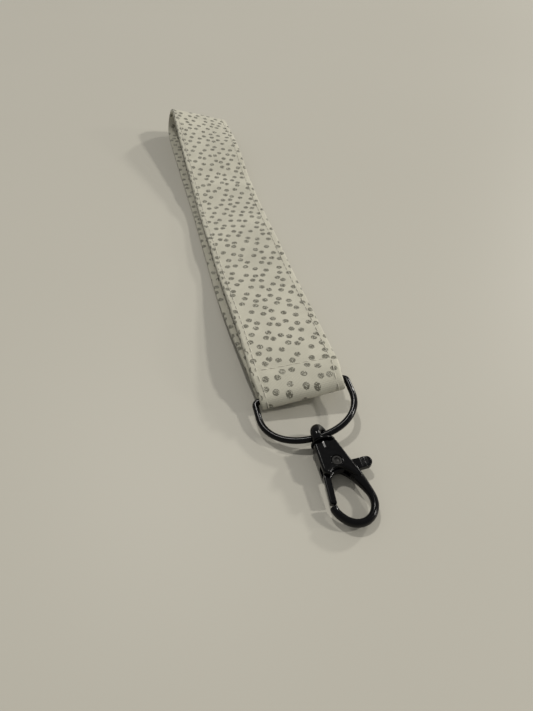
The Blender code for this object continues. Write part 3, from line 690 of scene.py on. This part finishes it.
def mix_colour(nodes, links, share, first, second, mode="MIX"):
    node = nodes.new("ShaderNodeMix")
    node.data_type = "RGBA"
    node.blend_type = mode
    for socket, value in zip((node.inputs[0], node.inputs[6], node.inputs[7]), (share, first, second)):
        if hasattr(value, "is_output"):
            links.new(value, socket)
        else:
            socket.default_value = value
    return node.outputs[2]


def spread(nodes, links, value, low, high, out_low=0.0, out_high=1.0, smooth=True):
    node = nodes.new("ShaderNodeMapRange")
    node.interpolation_type = "SMOOTHSTEP" if smooth else "LINEAR"
    links.new(value, node.inputs["Value"])
    for name, number in (("From Min", low), ("From Max", high), ("To Min", out_low), ("To Max", out_high)):
        node.inputs[name].default_value = number
    return node.outputs["Result"]


def printed_cotton():
    """Off-white plain-weave cotton with silver glitter dots, on the cloth's own UV map."""
    material, nodes, links, shader = new_material("printed_cotton")
    flat = add_node(nodes, "ShaderNodeUVMap", uv_map="cloth")
    place = add_node(nodes, "ShaderNodeMapping")
    place.inputs["Scale"].default_value = (CLOTH_SHEET * 1000, CLOTH_SHEET * 1000, 1.0)
    links.new(flat.outputs[0], place.inputs["Vector"])
    cloth = place.outputs[0]

    ragged = add_node(nodes, "ShaderNodeTexNoise", Scale=2.6, Detail=2.0)
    links.new(cloth, ragged.inputs["Vector"])
    shift = nodes.new("ShaderNodeVectorMath")
    shift.operation = "MULTIPLY_ADD"
    links.new(ragged.outputs["Color"], shift.inputs[0])
    shift.inputs[1].default_value = (0.34, 0.34, 0.0)
    links.new(cloth, shift.inputs[2])
    turned = add_node(nodes, "ShaderNodeMapping")
    turned.inputs["Rotation"].default_value = (0.0, 0.0, math.radians(27.0))
    links.new(shift.outputs[0], turned.inputs["Vector"])
    cells = add_node(nodes, "ShaderNodeTexVoronoi", voronoi_dimensions="2D", Scale=0.275, Randomness=0.56)
    others = add_node(nodes, "ShaderNodeTexVoronoi", voronoi_dimensions="2D", feature="F2", Scale=0.275,
                      Randomness=0.56)
    links.new(turned.outputs[0], others.inputs["Vector"])
    links.new(turned.outputs[0], cells.inputs["Vector"])
    dot = spread(nodes, links, cells.outputs["Distance"], 0.285, 0.245)
    apart = maths(nodes, links, "SUBTRACT", others.outputs["Distance"], cells.outputs["Distance"])
    dot = maths(nodes, links, "MULTIPLY", dot, spread(nodes, links, apart, 0.11, 0.17))

    flakes = add_node(nodes, "ShaderNodeTexVoronoi", voronoi_dimensions="2D", Scale=5.5)
    links.new(cloth, flakes.inputs["Vector"])
    split = nodes.new("ShaderNodeSeparateColor")
    links.new(flakes.outputs["Color"], split.inputs[0])
    sparkle = spread(nodes, links, split.outputs[0], 0.80, 0.95)
    bald = spread(nodes, links, split.outputs[1], 0.10, 0.04)
    silver = mix_colour(nodes, links, sparkle, (0.135, 0.13, 0.095, 1), (0.52, 0.51, 0.42, 1))
    covered = maths(nodes, links, "MULTIPLY", dot, maths(nodes, links, "SUBTRACT", 1.0, bald))

    mottle = add_node(nodes, "ShaderNodeTexNoise", Scale=0.09, Detail=4.0)
    links.new(cloth, mottle.inputs["Vector"])
    cotton = mix_colour(nodes, links, spread(nodes, links, mottle.outputs[0], 0.35, 0.65),
                        (0.52, 0.503, 0.41, 1), (0.575, 0.557, 0.455, 1))
    warp = add_node(nodes, "ShaderNodeTexWave", wave_type="BANDS", bands_direction="X", Scale=0.85,
                    Distortion=0.6)
    weft = add_node(nodes, "ShaderNodeTexWave", wave_type="BANDS", bands_direction="Y", Scale=0.85,
                    Distortion=0.6)
    for wave in (warp, weft):
        links.new(cloth, wave.inputs["Vector"])
    weave = maths(nodes, links, "MULTIPLY", warp.outputs["Fac"], weft.outputs["Fac"])
    slubs = add_node(nodes, "ShaderNodeTexNoise", Scale=3.0, Detail=3.0)
    links.new(cloth, slubs.inputs["Vector"])
    shade = maths(nodes, links, "MULTIPLY_ADD", weave, 0.14)
    shade.node.inputs[2].default_value = 0.90
    threads = nodes.new("ShaderNodeCombineColor")
    for socket in threads.inputs[:3]:
        links.new(shade, socket)
    cotton = mix_colour(nodes, links, 1.0, cotton, threads.outputs[0], "MULTIPLY")
    links.new(mix_colour(nodes, links, covered, cotton, silver), shader.inputs["Base Color"])

    rough = spread(nodes, links, covered, 0.0, 1.0, 0.86, 0.34, smooth=False)
    links.new(rough, shader.inputs["Roughness"])
    links.new(spread(nodes, links, covered, 0.0, 1.0, 0.0, 0.2, smooth=False), shader.inputs["Metallic"])
    shader.inputs["Sheen Weight"].default_value = 0.15
    shader.inputs["Sheen Roughness"].default_value = 0.5
    fibre = maths(nodes, links, "ADD", weave, maths(nodes, links, "MULTIPLY", slubs.outputs[0], 0.7))
    raised = maths(nodes, links, "ADD", fibre, maths(nodes, links, "MULTIPLY", covered, split.outputs[2]))
    bump = add_node(nodes, "ShaderNodeBump", Strength=0.45, Distance=0.09 * MM)
    links.new(raised, bump.inputs["Height"])
    links.new(bump.outputs[0], shader.inputs["Normal"])
    return material


def black_coat():
    """Glossy black plating over metal, with faint ripples and slightly worn, greyer patches."""
    material, nodes, links, shader = new_material("black_coat")
    place = nodes.new("ShaderNodeTexCoord").outputs["Object"]
    ripple = add_node(nodes, "ShaderNodeTexNoise", Scale=420.0, Detail=2.0)
    patches = add_node(nodes, "ShaderNodeTexNoise", Scale=1400.0, Detail=4.0)
    for texture in (ripple, patches):
        links.new(place, texture.inputs["Vector"])
    worn = spread(nodes, links, patches.outputs[0], 0.52, 0.75)
    edges = nodes.new("ShaderNodeNewGeometry").outputs["Pointiness"]
    rubbed = spread(nodes, links, edges, 0.54, 0.62)
    grey = maths(nodes, links, "MULTIPLY", rubbed, maths(nodes, links, "ADD", worn, 0.25), clamp=True)
    links.new(mix_colour(nodes, links, grey, (0.0015, 0.0015, 0.0018, 1), (0.008, 0.0075, 0.0065, 1)),
              shader.inputs["Base Color"])
    links.new(spread(nodes, links, patches.outputs[0], 0.3, 0.8, 0.13, 0.24, smooth=False),
              shader.inputs["Roughness"])
    shader.inputs["Specular IOR Level"].default_value = 0.2
    bump = add_node(nodes, "ShaderNodeBump", Strength=0.18, Distance=0.05 * MM)
    links.new(ripple.outputs[0], bump.inputs["Height"])
    links.new(bump.outputs[0], shader.inputs["Normal"])
    return material


def dark_steel():
    material, nodes, links, shader = new_material("dark_steel")
    place = nodes.new("ShaderNodeTexCoord").outputs["Object"]
    brushed = add_node(nodes, "ShaderNodeTexNoise", Scale=2600.0, Detail=3.0)
    links.new(place, brushed.inputs["Vector"])
    links.new(mix_colour(nodes, links, brushed.outputs[0], (0.012, 0.012, 0.012, 1), (0.05, 0.048, 0.045, 1)),
              shader.inputs["Base Color"])
    shader.inputs["Metallic"].default_value = 0.7
    links.new(spread(nodes, links, brushed.outputs[0], 0.3, 0.7, 0.28, 0.42, smooth=False),
              shader.inputs["Roughness"])
    return material


def sewing_thread():
    material, nodes, links, shader = new_material("sewing_thread")
    place = nodes.new("ShaderNodeTexCoord").outputs["Object"]
    twist = add_node(nodes, "ShaderNodeTexNoise", Scale=5200.0, Detail=2.0)
    links.new(place, twist.inputs["Vector"])
    links.new(mix_colour(nodes, links, twist.outputs[0], (0.44, 0.42, 0.34, 1), (0.62, 0.6, 0.51, 1)),
              shader.inputs["Base Color"])
    shader.inputs["Roughness"].default_value = 0.6
    shader.inputs["Sheen Weight"].default_value = 0.3
    bump = add_node(nodes, "ShaderNodeBump", Strength=0.4, Distance=0.04 * MM)
    links.new(twist.outputs[0], bump.inputs["Height"])
    links.new(bump.outputs[0], shader.inputs["Normal"])
    return material


def webbing():
    material, nodes, links, shader = new_material("core_webbing")
    place = nodes.new("ShaderNodeTexCoord").outputs["Object"]
    ribs = add_node(nodes, "ShaderNodeTexWave", bands_direction="DIAGONAL", Scale=900.0, Distortion=0.4)
    links.new(place, ribs.inputs["Vector"])
    links.new(mix_colour(nodes, links, ribs.outputs["Fac"], (0.5, 0.49, 0.44, 1), (0.72, 0.71, 0.66, 1)),
              shader.inputs["Base Color"])
    shader.inputs["Roughness"].default_value = 0.9
    return material


def table_top():
    material, nodes, links, shader = new_material("pale_table")
    place = nodes.new("ShaderNodeTexCoord").outputs["Object"]
    drift = add_node(nodes, "ShaderNodeTexNoise", Scale=6.0, Detail=2.0)
    links.new(place, drift.inputs["Vector"])
    links.new(mix_colour(nodes, links, drift.outputs[0], (0.50, 0.482, 0.415, 1), (0.52, 0.502, 0.435, 1)),
              shader.inputs["Base Color"])
    shader.inputs["Roughness"].default_value = 0.5
    return material


# ---------------------------------------------------------------- camera, lights, floor

def add_camera():
    data = bpy.data.cameras.new("camera")
    data.sensor_width = 36.0
    data.sensor_fit = "AUTO"
    data.lens = 27.04
    data.clip_start = 0.005
    camera = bpy.data.objects.new("camera", data)
    bpy.context.scene.collection.objects.link(camera)
    heading = math.radians(CAMERA_HEADING)
    pitch = math.radians(46.2)
    turn = Matrix.Rotation(heading, 4, "Z") @ Matrix.Rotation(math.pi / 2 - pitch, 4, "X")
    place = Vector((-32.1126, -85.7556, 119.0)) * MM + RING_END
    camera.matrix_world = Matrix.Translation(place) @ turn
    bpy.context.scene.camera = camera


def add_area_light(name, place, aim, size, power, colour):
    data = bpy.data.lights.new(name, "AREA")
    data.shape = "DISK"
    data.size = size
    data.energy = power
    data.color = colour
    light = bpy.data.objects.new(name, data)
    bpy.context.scene.collection.objects.link(light)
    aim_way = Vector(aim) - Vector(place)
    light.matrix_world = Matrix.Translation(place) @ aim_way.to_track_quat("-Z", "Y").to_matrix().to_4x4()


def light_the_room():
    world = bpy.data.worlds.new("room")
    bpy.context.scene.world = world
    world.use_nodes = True
    background = world.node_tree.nodes["Background"]
    background.inputs["Color"].default_value = (1.0, 0.985, 0.955, 1.0)
    background.inputs["Strength"].default_value = 0.30
    warm = (1.0, 0.97, 0.92)
    for name, right, ahead, rise, size, power in (
            ("back_lamp", -0.38, 0.92, 62.0, 0.20, 38.0),
            ("right_lamp", 1.0, 0.0, 36.0, 0.25, 52.0),
            ("right_back_lamp", 0.71, 0.70, 24.0, 0.30, 42.0),
            ("low_right_lamp", 0.99, -0.14, 17.0, 0.30, 12.0)):
        heading = math.radians(CAMERA_HEADING)
        flat = Vector((math.cos(heading), math.sin(heading), 0)) * right
        flat += Vector((-math.sin(heading), math.cos(heading), 0)) * ahead
        way = flat.normalized() * math.cos(math.radians(rise)) + Vector((0, 0, math.sin(math.radians(rise))))
        add_area_light(name, way * 3.75, (0, 0, 0), size, power, warm)
    bpy.context.scene.view_settings.view_transform = "Standard"


def add_floor():
    bpy.ops.mesh.primitive_plane_add(size=6.0, location=(0.0, 0.0, 0.0))
    floor = bpy.context.active_object
    floor.name = "table"
    floor.data.transform(floor.matrix_world)
    floor.matrix_world = Matrix.Identity(4)
    low = cad_box[0][2]
    floor.data.transform(Matrix.Translation((0.0, 0.0, low)))
    floor.data.materials.append(table_top())


def dress(name, material):
    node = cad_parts[name]
    node.data.materials.clear()
    node.data.materials.append(material)


def build():
    bpy.ops.object.select_all(action="DESELECT")
    add_camera()
    light_the_room()
    add_floor()
    frames = loop_frames(strap_loop())
    seams = seam_places(frames)
    cloth = strap_cloth(frames, seams)
    cloth.data.materials.append(printed_cotton())
    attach(cloth, "strap")
    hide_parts("fabric_cover")
    coat = black_coat()
    metal = (
        (make_ring(), "ring", "d_ring"), (make_eye(), "eye", "swivel_eye"),
        (make_body(), "clasp", "clasp_body"), (make_lever(), "trigger", "trigger_lever"))
    for piece, body, node in metal:
        piece.data.materials.clear()
        piece.data.materials.append(coat)
        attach(piece, body)
        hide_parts(node)
    steel = dark_steel()
    for name in ("trigger_rivet", "trigger_spring"):
        dress(name, steel)
    dress("strap_core", webbing())
    thread = sewing_thread()
    rows = []
    for side_name, side in (("left", -1.0), ("right", 1.0)):
        for face_name, face in (("needle", 1.0), ("bobbin", -1.0)):
            row = stitch_row(f"{face_name}_stitches_{side_name}", frames, side, face, seams)
            rows.append((row, f"edge_{face_name}_thread_{side_name}"))
    for seam, face_name in zip(seams, ("needle", "bobbin")):
        row = seam_row(f"{face_name}_seam_stitches", frames, seam, seams)
        rows.append((row, f"seam_{face_name}_thread"))
    for row, node in rows:
        row.data.materials.append(thread)
        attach(row, "strap")
        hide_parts(node)


build()
